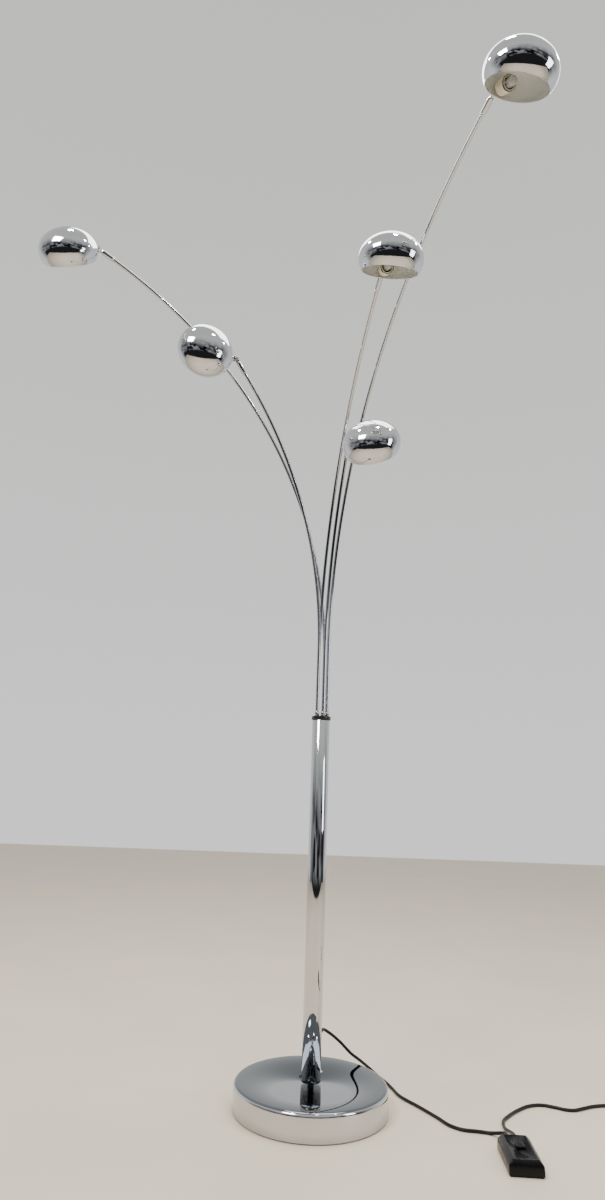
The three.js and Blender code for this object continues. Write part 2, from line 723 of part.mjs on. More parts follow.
const leadFromDimmer = [
  fromDimmer(cordTwoX, cordIntoDimmer, portHeight),
  fromDimmer(cordTwoX, cordIntoDimmer + straightOut, portHeight - CORD_SAG),
  ...onFloor([[359, -58], [364, -30], [382, -4], [408, 24], [436, 46], [462, 53], [486, 45], [504, 35],
    [520, 33], [540, 42], [566, 55], [594, 62]]),
];

// The lead runs into the coil along its near side, leaves it along its right side and
// turns back to the plug in a half circle.
const coilInside = COIL.meanRadius - CORD_DIAMETER;
const coilOutside = COIL.meanRadius + CORD_DIAMETER;
const coilBottom = TIE.thickness + 2 * GAP;
const coilHeight = COIL.layers * CORD_DIAMETER;
const besideCoil = coilOutside + cordRadius + 2 * GAP;
leadFromDimmer.push(...onFloor([
  [COIL.x - 50, COIL.y - besideCoil + 3],
  [COIL.x - 24, COIL.y - besideCoil],
  [COIL.x, COIL.y - besideCoil],
]));
const plugHalf = PLUG.length / 2;
const plugAxis = PLUG.height / 2 + CORD_LIFT;
const plugEntry = PLUG.y + plugHalf + PLUG.relief + GAP;
const coilExit = COIL.x + besideCoil;
const loopRadius = (PLUG.x - coilExit) / 2;
const loopX = coilExit + loopRadius;
const loopY = plugEntry + straightOut;
const loopSide = loopRadius * Math.SQRT1_2;
const leadToPlug = [
  new THREE.Vector3(coilExit, COIL.y, floorLine + CORD_DIAMETER),
  new THREE.Vector3(coilExit, COIL.y + 14, floorLine + CORD_DIAMETER / 2),
  ...onFloor([
    [coilExit, loopY],
    [loopX - loopSide, loopY + loopSide],
    [loopX, loopY + loopRadius],
  ]),
  new THREE.Vector3(loopX + loopSide, loopY + loopSide, floorLine + 1),
  new THREE.Vector3(PLUG.x, loopY, plugAxis - CORD_SAG),
  new THREE.Vector3(PLUG.x, plugEntry, plugAxis),
];

function cordGeometry(points) {
  const curve = new THREE.CatmullRomCurve3(points, false, 'centripetal');
  const section = new THREE.Shape(circlePoints(cordRadius, 8));
  const steps = Math.max(3, Math.round(curve.getLength() / CORD_STEP));
  return new THREE.ExtrudeGeometry(section, { steps, extrudePath: curve, bevelEnabled: false });
}

addMesh(lamp, 'cord_to_dimmer', cordGeometry(leadToDimmer), RUBBER);
addMesh(lamp, 'cord_from_dimmer', cordGeometry(leadFromDimmer), RUBBER);
addMesh(lamp, 'cord_to_plug', cordGeometry(leadToPlug), RUBBER);

const coilEdge = 2;
const coilTop = coilBottom + coilHeight;
const coilMesh = addMesh(lamp, 'cord_coil', lathe([
  [coilOutside - coilEdge, coilBottom],
  [coilOutside, coilBottom + coilEdge],
  [coilOutside, coilTop - coilEdge],
  [coilOutside - coilEdge, coilTop],
  [coilInside + coilEdge, coilTop],
  [coilInside, coilTop - coilEdge],
  [coilInside, coilBottom + coilEdge],
  [coilInside + coilEdge, coilBottom],
], 18), RUBBER);
coilMesh.position.set(COIL.x, COIL.y, 0);

// A rectangle about the origin, for the tie's outline and its opening.
function rectangle(width, height) {
  return [
    new THREE.Vector2(-width / 2, -height / 2),
    new THREE.Vector2(width / 2, -height / 2),
    new THREE.Vector2(width / 2, height / 2),
    new THREE.Vector2(-width / 2, height / 2),
  ];
}

const tieOpening = 2 * CORD_DIAMETER + 4 * GAP;
const tieOutside = tieOpening + 2 * TIE.thickness;
const tieShape = new THREE.Shape(rectangle(tieOutside, coilHeight + 2 * GAP + 2 * TIE.thickness));
tieShape.holes.push(new THREE.Path(rectangle(tieOpening, coilHeight + 2 * GAP)));
const tie = new THREE.ExtrudeGeometry(tieShape, { depth: TIE.width, bevelEnabled: false });
tie.rotateX(Math.PI / 2);
const tieMesh = addMesh(lamp, 'coil_tie', tie, BLACK);
tieMesh.position.set(COIL.x - COIL.meanRadius, COIL.y + TIE.width / 2, coilBottom + coilHeight / 2);

// ---------------------------------------------------------------- plug
// The plug lies flat with its cord at +Y and its pins towards -Y.

const plugGroup = turnedGroup(lamp, PLUG.x, PLUG.y, plugAxis, 'z', 0);
const plugOutline = [
  [-PLUG.width / 2, -plugHalf],
  [PLUG.width / 2, -plugHalf],
  [PLUG.width / 2, -plugHalf * 0.2],
  [PLUG.neck / 2, plugHalf],
  [-PLUG.neck / 2, plugHalf],
  [-PLUG.width / 2, -plugHalf * 0.2],
];
const plugShape = new THREE.Shape(plugOutline.map(([x, y]) => new THREE.Vector2(x, y)));
const plugBlock = new THREE.ExtrudeGeometry(plugShape, { depth: PLUG.height, bevelEnabled: false });
plugBlock.translate(0, 0, -PLUG.height / 2);
const plugRelief = lathe([
  [0, -5],
  [RELIEF_ROOT_RADIUS, -5],
  [RELIEF_TIP_RADIUS, PLUG.relief],
  [0, PLUG.relief],
], 16);
const plugReliefPlace = new THREE.Matrix4().makeTranslation(0, plugHalf, 0).multiply(towardsY);
const plugBody = solid(plugBlock).add(solid(plugRelief, plugReliefPlace));
addMesh(plugGroup, 'plug_body', geometryOf(plugBody), RUBBER);

const pinGeometry = lathe([
  [0, 0],
  [PLUG.pinRadius, 0],
  [PLUG.pinRadius, PLUG.pinLength - 1],
  [PLUG.pinRadius - 0.8, PLUG.pinLength],
  [0, PLUG.pinLength],
], 12);
cordSides.forEach((side, index) => {
  const pin = addMesh(plugGroup, `plug_pin_${index + 1}`, pinGeometry, BRASS);
  pin.rotation.x = Math.PI / 2;
  pin.position.set((side * PLUG.pinSpacing) / 2, -plugHalf - GAP, 0);
});

export default lamp;
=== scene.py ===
import math

import bmesh
import bpy
from mathutils import Matrix, Vector


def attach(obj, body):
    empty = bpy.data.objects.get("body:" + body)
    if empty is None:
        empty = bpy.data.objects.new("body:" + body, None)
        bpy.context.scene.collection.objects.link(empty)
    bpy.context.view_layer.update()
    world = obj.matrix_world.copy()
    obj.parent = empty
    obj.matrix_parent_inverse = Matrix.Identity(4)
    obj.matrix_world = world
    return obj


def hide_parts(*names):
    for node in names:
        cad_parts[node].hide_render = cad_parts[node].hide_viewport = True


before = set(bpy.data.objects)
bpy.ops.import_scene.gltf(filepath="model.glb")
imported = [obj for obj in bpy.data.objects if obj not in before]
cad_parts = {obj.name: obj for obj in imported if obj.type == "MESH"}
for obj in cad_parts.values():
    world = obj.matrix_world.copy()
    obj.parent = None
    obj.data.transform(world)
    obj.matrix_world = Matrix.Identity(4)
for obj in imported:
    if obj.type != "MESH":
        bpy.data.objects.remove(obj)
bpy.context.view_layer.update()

MM = 0.001

# ------------------------------------------------------------------ sizes, mm, as in the CAD part
BASE_RADIUS, BASE_HEIGHT, BASE_EDGE, COVER_LIFT = 150.0, 48.0, 8.0, 1.6
PAD_RADIUS, PAD_THICKNESS = 145.5, 3.0
POLE_RADIUS, POLE_TOP = 19.0, 743.0
CAP_TOP, CAP_RADIUS = 751.0, 21.0
HOLE_PITCH = 12.0
TUBE_RADIUS, BEND_RADIUS, STRAIGHT_END, TUBE_BELOW = 3.75, 940.0, 32.0, 68.0
STOP_RADIUS, STOP_HEIGHT = 5.0, 9.0
SLEEVE_RADIUS, SLEEVE_LENGTH, SLEEVE_TIP, SLEEVE_END, PIVOT_OFFSET = 5.5, 28.0, 4.0, 3.7, 11.0
CHEEK_RADIUS, CHEEK_INNER, CHEEK_OUTER = 4.5, 2.3, 4.5
HUB_TOP, HUB_THICKNESS, HUB_RADIUS, NIPPLE_RADIUS = 10.4, 3.4, 6.0, 3.0
DOME_RADIUS, DOME_HEIGHT, SKIRT_DROP, DOME_WALL = 62.5, 47.5, 22.5, 1.2
DOME_Z, JOINT_DROP, BOSS_RADIUS, SEAT_Z, INNER_SEAT_Z = 73.5, 6.25, 6.5, 10.7, 15.75
HOLDER_START, HOLDER_RADIUS, HOLDER_LENGTH, HOLDER_WALL, HOLDER_FLOOR = 16.1, 13.0, 29.0, 2.5, 5.0
BULB_RADIUS, BULB_LENGTH = 7.5, 40.0
CORD_RADIUS = 3.0
CORD_FLOOR = CORD_RADIUS + 0.2
ARMS = [
    dict(k=1, hole=72, bend=-156, straight=121, length=1226, sleeve=6, tilt=58.5, roll=-45.7),
    dict(k=2, hole=-144, bend=-148.5, straight=149, length=839, sleeve=-10.4, tilt=55.3, roll=-72.6),
    dict(k=3, hole=144, bend=-75.8, straight=90, length=962, sleeve=-6, tilt=65.7, roll=5.8),
    dict(k=4, hole=-72, bend=-74.3, straight=110, length=604, sleeve=26.3, tilt=92.1, roll=30),
    dict(k=5, hole=0, bend=-68.4, straight=135, length=1308, sleeve=1.5, tilt=50.1, roll=0.9),
]
DIMMER_AT, DIMMER_TURN = (350.0, -186.0), -3.5
DIMMER_WIDTH, DIMMER_LENGTH, DIMMER_HEIGHT = 58.0, 98.0, 25.0
RELIEF_AXIS_Z = DIMMER_HEIGHT / 2 - 1
RELIEF_SPACING, DIMMER_RELIEF = 15.0, 22.0
CORD_INSIDE = 8.0  # how far the cord runs into the dimmer's housing
CORD_HOLE_Z, CORD_HOLE_AZIMUTH, POLE_RELIEF_END = 125.0, 65.0, POLE_RADIUS + 26.0
COIL_AT, COIL_MEAN = (675.0, 96.0), 33.0
PLUG_AT, PLUG_HALF, PLUG_HEIGHT, PLUG_RELIEF = (770.0, 72.0), 17.0, 14.0, 20.0
PLUG_AXIS = PLUG_HEIGHT / 2 + 0.2
GAP = 0.3
SHADE_HOLE = 3.3  # the hole that the threaded stem runs through
CORD_SAG = 0.4
STRAIGHT_OUT = 4 * CORD_RADIUS  # a cord leaves its fitting straight over this length
TIE_HALF, TIE_TOP, TIE_BOTTOM = 7.6, 15.0, 0.35
TIE_MIDDLE, TIE_INNER = 7.7, 0.86  # height of its middle, and its opening's share of its outline
TOP_STEP = 1.2  # how deep the dimmer's top is let in
FLOOR_SIDE, FLOOR_NEAR, FLOOR_FAR = 5.0, -2.3, 6.0  # metres

# ------------------------------------------------------------------ how fine the meshes are
BASE_SIDES, PAD_SIDES, POLE_SIDES, DOME_SIDES, DOME_ROWS = 192, 128, 96, 112, 44
HOLDER_SIDES, FITTING_SIDES, ROUND_SIDES, RELIEF_SIDES = 56, 48, 40, 36
TUBE_SIDES, PIN_SIDES, SCREW_SIDES, SUPER_SIDES = 32, 28, 16, 40
CORD_STEP = 4.0  # between two points of a cord
PLATE_BEVEL = 0.35
TINY = 1e-6
WELD = 2e-5  # metres: vertices closer than this become one
PAINTED_REFLECTION_FACING = 0.7  # faces that look up this much get the base's darker top chrome, a painted reflection of the dark room it mirrors


def rad(degrees):
    return math.radians(degrees)


def turn(axis, degrees):
    return Matrix.Rotation(rad(degrees), 4, axis)


def move(x, y, z):
    return Matrix.Translation((x, y, z))


# ------------------------------------------------------------------ camera
CAMERA_AT = (-50.3, -1608.2, 588.7)
CAMERA_PITCH, CAMERA_ROLL = 14.77, 2.1
CAMERA_LENS, CAMERA_SENSOR = 21.906, 36
camera_data = bpy.data.cameras.new("camera")
camera_data.lens = CAMERA_LENS
camera_data.sensor_width = CAMERA_SENSOR
camera = bpy.data.objects.new("camera", camera_data)
bpy.context.scene.collection.objects.link(camera)
camera.matrix_world = (
    Matrix.Translation(Vector(CAMERA_AT) * MM) @ turn("X", 90 + CAMERA_PITCH) @ turn("Z", CAMERA_ROLL)
)
bpy.context.scene.camera = camera


# ------------------------------------------------------------------ materials
def material(name, colour, rough, metallic=0.0, colour_var=0.08, rough_var=0.3, bump=0.05,
             grain=900.0, cloud=14.0, ior=None, specular=None, transmission=0.0):
    """A procedural material: slow clouds of a darker tone, a fine grain in bump and roughness."""
    mat = bpy.data.materials.new(name)
    mat.use_nodes = True
    nodes, links = mat.node_tree.nodes, mat.node_tree.links
    shader = nodes["Principled BSDF"]
    coords = nodes.new("ShaderNodeTexCoord")
    clouds = nodes.new("ShaderNodeTexNoise")
    clouds.inputs["Scale"].default_value = cloud
    clouds.inputs["Detail"].default_value = 6
    fine = nodes.new("ShaderNodeTexNoise")
    fine.inputs["Scale"].default_value = grain
    fine.inputs["Detail"].default_value = 3
    for texture in (clouds, fine):
        links.new(coords.outputs["Object"], texture.inputs["Vector"])
    ramp = nodes.new("ShaderNodeValToRGB")
    darker = tuple(max(0.0, c * (1 - colour_var * 2)) for c in colour)
    ramp.color_ramp.elements[0].position, ramp.color_ramp.elements[1].position = 0.3, 0.7
    ramp.color_ramp.elements[0].color = (*darker, 1)
    ramp.color_ramp.elements[1].color = (*colour, 1)
    links.new(clouds.outputs["Fac"], ramp.inputs["Fac"])
    links.new(ramp.outputs["Color"], shader.inputs["Base Color"])
    total = nodes.new("ShaderNodeMath")
    total.operation = "MULTIPLY"
    links.new(clouds.outputs["Fac"], total.inputs[0])
    links.new(fine.outputs["Fac"], total.inputs[1])
    spread = nodes.new("ShaderNodeMapRange")
    spread.inputs["From Min"].default_value, spread.inputs["From Max"].default_value = 0.12, 0.42
    spread.inputs["To Min"].default_value = rough * (1 - rough_var)
    spread.inputs["To Max"].default_value = rough * (1 + rough_var)
    links.new(total.outputs["Value"], spread.inputs["Value"])
    links.new(spread.outputs["Result"], shader.inputs["Roughness"])
    relief = nodes.new("ShaderNodeBump")
    relief.inputs["Strength"].default_value = bump
    relief.inputs["Distance"].default_value = 0.0004
    links.new(fine.outputs["Fac"], relief.inputs["Height"])
    links.new(relief.outputs["Normal"], shader.inputs["Normal"])
    shader.inputs["Metallic"].default_value = metallic
    shader.inputs["Transmission Weight"].default_value = transmission
    if ior:
        shader.inputs["IOR"].default_value = ior
    if specular is not None:
        shader.inputs["Specular IOR Level"].default_value = specular
    return mat


CHROME = material("chrome", (0.60, 0.61, 0.635), 0.05, 1.0, 0.02, 0.45, 0.006, 1500, 9)
SHADE_CHROME = material("shade_chrome", (0.62, 0.63, 0.66), 0.06, 1.0, 0.02, 0.45, 0.008, 1500, 12)
# the base's flat top in a darker copy of the same chrome: a painted reflection of the dark wall and room
# above it
BASE_TOP_PAINTED_REFLECTION = material("base_top_painted_reflection", (0.20, 0.215, 0.235), 0.05, 1.0, 0.03, 0.4, 0.004, 1500, 6)
SHADE_INSIDE = material("shade_inside", (0.74, 0.77, 0.76), 0.4, 0.25, 0.04, 0.25, 0.12, 1800, 30)
STEEL = material("steel", (0.55, 0.56, 0.57), 0.3, 1.0, 0.06, 0.3, 0.05, 1200, 60)
DARK_STEEL = material("dark_steel", (0.06, 0.06, 0.065), 0.35, 0.8, 0.1, 0.3, 0.08, 1500, 60)
BLACK = material("black_plastic", (0.005, 0.0053, 0.006), 0.3, 0, 0.2, 0.3, 0.12, 2600, 40,
                 specular=0.2)
CAP_BLACK = material("cap_plastic", (0.018, 0.018, 0.02), 0.3, 0, 0.2, 0.3, 0.1, 2200, 50)
SLIDER = material("slider_plastic", (0.007, 0.0073, 0.008), 0.45, 0, 0.15, 0.25, 0.15, 2400, 60,
                  specular=0.25)
RUBBER = material("cord_rubber", (0.008, 0.008, 0.009), 0.42, 0, 0.2, 0.25, 0.12, 1800, 70,
                  specular=0.3)
FOAM = material("base_foam", (0.02, 0.02, 0.021), 0.85, 0, 0.2, 0.1, 0.4, 1200, 90)
IRON = material("cast_iron", (0.10, 0.10, 0.10), 0.7, 0.7, 0.2, 0.2, 0.5, 500, 60)
CREAM = material("holder_cream", (0.80, 0.73, 0.58), 0.38, 0, 0.04, 0.2, 0.06, 1600, 50)
BULB_GLASS = material("bulb_glass", (0.80, 0.82, 0.82), 0.12, 0, 0.04, 0.3, 0.02, 900, 50, ior=1.45,
                      transmission=0.55)
BRASS = material("brass", (0.66, 0.55, 0.30), 0.28, 1.0, 0.08, 0.3, 0.04, 1400, 60)


# ------------------------------------------------------------------ mesh helpers
def finish_mesh(name, bm, mats, sharp=32.0):
    """Makes the object: smooth faces, with edges above `sharp` degrees kept crisp."""
    for face in bm.faces:
        face.smooth = True
    limit = rad(sharp)
    for edge in bm.edges:
        if len(edge.link_faces) == 2 and edge.calc_face_angle(0) > limit:
            edge.smooth = False
    mesh = bpy.data.meshes.new(name)
    bm.to_mesh(mesh)
    bm.free()
    for mat in mats:
        mesh.materials.append(mat)
    obj = bpy.data.objects.new(name, mesh)
    bpy.context.scene.collection.objects.link(obj)
    return obj


def put(obj, body, slot, *nodes):
    """Gives the piece its body and hides the CAD nodes it stands for; the slot argument is not used."""
    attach(obj, body)
    if nodes:
        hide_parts(*nodes)
    return obj


def lathe_into(bm, profile, segments, matrix, material_index=0, closed=True):
    """Adds a body of revolution about Z, from [radius, z] points in mm."""
    rings = []
    for radius, z in profile:
        if radius < TINY:
            rings.append([bm.verts.new(matrix @ Vector((0, 0, z)) * MM)])
            continue
        ring = []
        for i in range(segments):
            a = 2 * math.pi * i / segments
            point = Vector((radius * math.cos(a), radius * math.sin(a), z))
            ring.append(bm.verts.new(matrix @ point * MM))
        rings.append(ring)
    pairs = list(zip(rings, rings[1:]))
    if closed and len(rings[0]) > 1 and len(rings[-1]) > 1:
        pairs.append((rings[-1], rings[0]))
    for low, high in pairs:
        for i in range(segments):
            j = (i + 1) % segments
            if len(low) == 1 and len(high) == 1:
                continue
            if len(low) == 1:
                face = bm.faces.new((low[0], high[j], high[i]))
            elif len(high) == 1:
                face = bm.faces.new((low[i], low[j], high[0]))
            else:
                face = bm.faces.new((low[i], low[j], high[j], high[i]))
            face.material_index = material_index


def rounded(profile, radius, steps=3, closed=False):
    """The profile with its corners cut back to small arcs."""
    points = [Vector(p) for p in profile]
    out = []
    count = len(points)
    for i, p in enumerate(points):
        if not closed and i in (0, count - 1) or p.x < TINY:
            out.append(p)
            continue
        a, b = points[i - 1], points[(i + 1) % count]
        r = min(radius, (a - p).length * 0.45, (b - p).length * 0.45)
        start, end = p + (a - p).normalized() * r, p + (b - p).normalized() * r
        for s in range(steps + 1):
            t = s / steps
            out.append(start * (1 - t) ** 2 + p * 2 * t * (1 - t) + end * t * t)
    return [(p.x, p.y) for p in out]


def lathe(name, profile, mats, segments, matrix=Matrix()):
    bm = bmesh.new()
    lathe_into(bm, profile, segments, matrix)
    return finish_mesh(name, bm, mats)


def skin(bm, rings, ends=True):
    """Joins each ring of vertices to the next, and closes the two ends unless told not to."""
    for low, high in zip(rings, rings[1:]):
        count = len(low)
        for i in range(count):
            j = (i + 1) % count
            bm.faces.new((low[i], low[j], high[j], high[i]))
    if ends:
        bm.faces.new(list(reversed(rings[0])))
        bm.faces.new(rings[-1])


def tube_into(bm, points, radius, sides, matrix):
    """Adds a closed tube along points (mm), with frames carried along the path."""
    pts = [Vector(p) for p in points]
    tangents = []
    for i in range(len(pts)):
        a, b = pts[max(0, i - 1)], pts[min(len(pts) - 1, i + 1)]
        tangents.append((b - a).normalized())
    normal = tangents[0].orthogonal().normalized()
    rings = []
    for p, t in zip(pts, tangents):
        normal = (normal - t * normal.dot(t)).normalized()
        side = t.cross(normal)
        ring = []
        for s in range(sides):
            a = 2 * math.pi * s / sides
            out = (normal * math.cos(a) + side * math.sin(a)) * radius
            ring.append(bm.verts.new(matrix @ (p + out) * MM))
        rings.append(ring)
    skin(bm, rings)


def plate_into(bm, outline, low, high, matrix):
    """Adds a plate: an outline of (x, z) points in mm, between y = low and y = high, edges eased."""
    levels = [(low, -PLATE_BEVEL), (low + PLATE_BEVEL, 0.0), (high - PLATE_BEVEL, 0.0),
              (high, -PLATE_BEVEL)]
    count = len(outline)
    centre = Vector((sum(p[0] for p in outline) / count, sum(p[1] for p in outline) / count))
    rings = []
    for y, inset in levels:
        ring = []
        for p in outline:
            q = Vector(p)
            away = q - centre
            q = q + away.normalized() * inset if away.length > TINY else q
            ring.append(bm.verts.new(matrix @ Vector((q.x, y, q.y)) * MM))
        rings.append(ring)
    skin(bm, rings)


# ------------------------------------------------------------------ cords
def catmull(points):
    """Even points along the centripetal Catmull-Rom curve through points."""
    pts = [Vector(p) for p in points]
    pts = [pts[0] * 2 - pts[1], *pts, pts[-1] * 2 - pts[-2]]
    out = []
    for i in range(1, len(pts) - 2):
        p0, p1, p2, p3 = pts[i - 1 : i + 3]
        t0 = 0.0
        t1 = t0 + (p1 - p0).length ** 0.5
        t2 = t1 + (p2 - p1).length ** 0.5
        t3 = t2 + (p3 - p2).length ** 0.5
        steps = max(2, round((p2 - p1).length / CORD_STEP))
        for s in range(steps):
            t = t1 + (t2 - t1) * s / steps
            a1 = p0 * ((t1 - t) / (t1 - t0)) + p1 * ((t - t0) / (t1 - t0))
            a2 = p1 * ((t2 - t) / (t2 - t1)) + p2 * ((t - t1) / (t2 - t1))
            a3 = p2 * ((t3 - t) / (t3 - t2)) + p3 * ((t - t2) / (t3 - t2))
            b1 = a1 * ((t2 - t) / (t2 - t0)) + a2 * ((t - t0) / (t2 - t0))
            b2 = a2 * ((t3 - t) / (t3 - t1)) + a3 * ((t - t1) / (t3 - t1))
            out.append(b1 * ((t2 - t) / (t2 - t1)) + b2 * ((t - t1) / (t2 - t1)))
    out.append(pts[-2])
    return out


def ease(value, start, end):
    t = min(1.0, max(0.0, (value - start) / (end - start)))
    return t * t * (3 - 2 * t)


dimmer_frame = move(*DIMMER_AT, 0) @ turn("Z", DIMMER_TURN)


def from_dimmer(x, y, z):
    return dimmer_frame @ Vector((x, y, z))


def from_pole(distance, drop):
    a = rad(CORD_HOLE_AZIMUTH)
    return Vector((distance * math.cos(a), distance * math.sin(a), CORD_HOLE_Z - drop))


def on_floor(pairs):
    return [Vector((x, y, CORD_FLOOR)) for x, y in pairs]


into_dimmer = DIMMER_LENGTH / 2 + DIMMER_RELIEF + GAP
cord_one_points = [
    from_pole(POLE_RELIEF_END + GAP, 0),
    from_pole(POLE_RELIEF_END + GAP + STRAIGHT_OUT, 0.5),
    Vector((40, 66, 113)),
    Vector((62, 82, 93)),
    Vector((84, 96, 70)),
    Vector((106, 112, 51.6)),
    Vector((126, 126, 34)),
    Vector((145, 136, 17)),
    Vector((162, 134, 6)),
    *on_floor([(172, 112), (183, 72), (214, 22), (242, -26), (258, -56), (278, -72), (305, -77),
               (326, -82)]),
    from_dimmer(-RELIEF_SPACING / 2, into_dimmer + STRAIGHT_OUT, RELIEF_AXIS_Z - CORD_SAG),
    from_dimmer(-RELIEF_SPACING / 2, into_dimmer, RELIEF_AXIS_Z),
    from_dimmer(-RELIEF_SPACING / 2, DIMMER_LENGTH / 2 - CORD_INSIDE, RELIEF_AXIS_Z),
]

coil_x, coil_y = COIL_AT
beside_coil = COIL_MEAN + 3 * CORD_RADIUS + 2 * GAP
cord_two_start = [
    from_dimmer(RELIEF_SPACING / 2, into_dimmer, RELIEF_AXIS_Z),
    from_dimmer(RELIEF_SPACING / 2, into_dimmer + STRAIGHT_OUT, RELIEF_AXIS_Z - CORD_SAG),
    *on_floor([(359, -58), (364, -30), (382, -4), (408, 24), (436, 46), (462, 53), (486, 45), (504, 35),
               (520, 33), (540, 42), (566, 55), (594, 62), (coil_x - 50, coil_y - beside_coil + 3),
               (coil_x - 24, coil_y - beside_coil)]),
]
COIL_OUT, COIL_IN = COIL_MEAN + CORD_RADIUS + 0.1, COIL_MEAN - CORD_RADIUS - 0.1
LAYER_ONE, LAYER_TWO = 4.8, 10.95
# Degrees round the coil, from its near side, over which the cord changes radius or layer.
ENTER, TO_INSIDE, TO_TOP = (-90, -45), (225, 270), (515, 575)
TO_OUTSIDE, LEAVE = (815, 870), (1050, 1095)
DESCEND, COIL_END, COIL_STEP = (1065, 1095), 1081, 15
coil_points = []
for phi in range(ENTER[0], COIL_END, COIL_STEP):
    r = beside_coil + (COIL_OUT - beside_coil) * ease(phi, *ENTER)
    r += (COIL_IN - COIL_OUT) * ease(phi, *TO_INSIDE)
    r += (COIL_OUT - COIL_IN) * ease(phi, *TO_OUTSIDE)
    r += (beside_coil + 1 - COIL_OUT) * ease(phi, *LEAVE)
    z = CORD_FLOOR + (LAYER_ONE - CORD_FLOOR) * ease(phi, *ENTER)
    z += (LAYER_TWO - LAYER_ONE) * ease(phi, *TO_TOP)
    z -= ease(phi, *DESCEND)
    coil_points.append(Vector((coil_x + r * math.cos(rad(phi)), coil_y + r * math.sin(rad(phi)), z)))
plug_entry = PLUG_AT[1] + PLUG_HALF + PLUG_RELIEF + GAP
coil_exit = coil_x + beside_coil
loop_radius = (PLUG_AT[0] - coil_exit) / 2
loop_x, loop_y = coil_exit + loop_radius, plug_entry + STRAIGHT_OUT
loop_side = loop_radius * math.sqrt(0.5)
cord_two_end = [
    Vector((coil_exit, coil_y + 14, CORD_FLOOR + 5)),
    *on_floor([(coil_exit, loop_y + 6), (loop_x - loop_side, loop_y + loop_side),
               (loop_x, loop_y + loop_radius)]),
    Vector((loop_x + loop_side, loop_y + loop_side, CORD_FLOOR + 1)),
    Vector((PLUG_AT[0], loop_y, PLUG_AXIS - CORD_SAG)),
    Vector((PLUG_AT[0], plug_entry, PLUG_AXIS)),
]
cord_two_points = cord_two_start + coil_points + cord_two_end


def cord_piece(name, points):
    path = catmull(points)
    curve = bpy.data.curves.new(name, "CURVE")
    curve.dimensions = "3D"
    spline = curve.splines.new("POLY")
    spline.points.add(len(path) - 1)
    for point, p in zip(spline.points, path):
        point.co = (*(p * MM), 1)
    curve.bevel_depth = CORD_RADIUS * MM
    curve.bevel_resolution = 5
    curve.use_fill_caps = True
    curve.materials.append(RUBBER)
    obj = bpy.data.objects.new(name, curve)
    bpy.context.scene.collection.objects.link(obj)
    length = sum((b - a).length for a, b in zip(path, path[1:])) * MM
    return obj, length, path[0] * MM


cord_one, cord_one_length, cord_one_exit = cord_piece("lead_to_dimmer", cord_one_points)
put(cord_one, "stand", "rubber", "cord_to_dimmer")
cord_two, cord_two_length, cord_two_exit = cord_piece("lead_to_plug", cord_two_points)
put(cord_two, "stand", "rubber", "cord_from_dimmer", "cord_coil", "cord_to_plug")


def relief_profile(root, tip, start, end, grooves):
    """A tapered strain relief with flex grooves."""
    points = [(0, start), (root, start)]
    for i in range(grooves):
        t0, t1 = (i + 0.25) / grooves, (i + 0.75) / grooves
        z0, z1 = 2 + (end - 2) * t0, 2 + (end - 2) * t1
        r0, r1 = root + (tip - root) * t0, root + (tip - root) * t1
        points += [(r0, z0), (r0 - 0.7, z0 + 0.2), (r1 - 0.7, z1 - 0.2), (r1, z1)]
    points += [(tip, end - 0.4), (tip - 0.4, end), (0, end)]
    return points


towards_x, towards_y = turn("Y", 90), turn("X", -90)
pole_exit = move(0, 0, CORD_HOLE_Z) @ turn("Z", CORD_HOLE_AZIMUTH) @ towards_x
grommet_profile = [(0, 14), (5.6, 14), (5.6, POLE_RADIUS + 0.2), (7.2, POLE_RADIUS + 0.2),
                   (7.2, POLE_RADIUS + 1.6)]
grommet_profile += [(r, z + POLE_RADIUS) for r, z in relief_profile(5.4, 4.2, 2.2, 26, 5)[1:]]
grommet = lathe("cord_relief", grommet_profile, [RUBBER], ROUND_SIDES, pole_exit)
put(grommet, "stand", "rubber", "cord_grommet")

for index, side in enumerate((-1, 1)):
    place = dimmer_frame @ move(side * RELIEF_SPACING / 2, DIMMER_LENGTH / 2, RELIEF_AXIS_Z) @ towards_y
    name = f"dimmer_relief_{index + 1}"
    piece = lathe(name + "_ribbed", relief_profile(5, 4.2, -4, DIMMER_RELIEF, 5), [RUBBER],
                  RELIEF_SIDES, place)
    put(piece, "stand", "rubber", name)


# ------------------------------------------------------------------ plug and tie
def superellipse(width, height, power):
    """Outline of a rounded box: power 2 is an ellipse, a higher one is squarer."""
    out = []
    for i in range(SUPER_SIDES):
        a = 2 * math.pi * i / SUPER_SIDES
        c, s = math.cos(a), math.sin(a)
        out.append((math.copysign(abs(c) ** (2 / power), c) * width / 2,
                    math.copysign(abs(s) ** (2 / power), s) * height / 2))
    return out


def loft(name, sections, mats, matrix, body, slot, *nodes):
    """A closed skin through sections: (y, width, height, power, z offset)."""
    bm = bmesh.new()
    rings = []
    for y, width, height, power, lift in sections:
        ring = [bm.verts.new(matrix @ Vector((x, y, z + lift)) * MM)
                for x, z in superellipse(width, height, power)]
        rings.append(ring)
    skin(bm, rings)
    bmesh.ops.recalc_face_normals(bm, faces=bm.faces)
    obj = finish_mesh(name, bm, mats, 40.0)
    return put(obj, body, slot, *nodes)


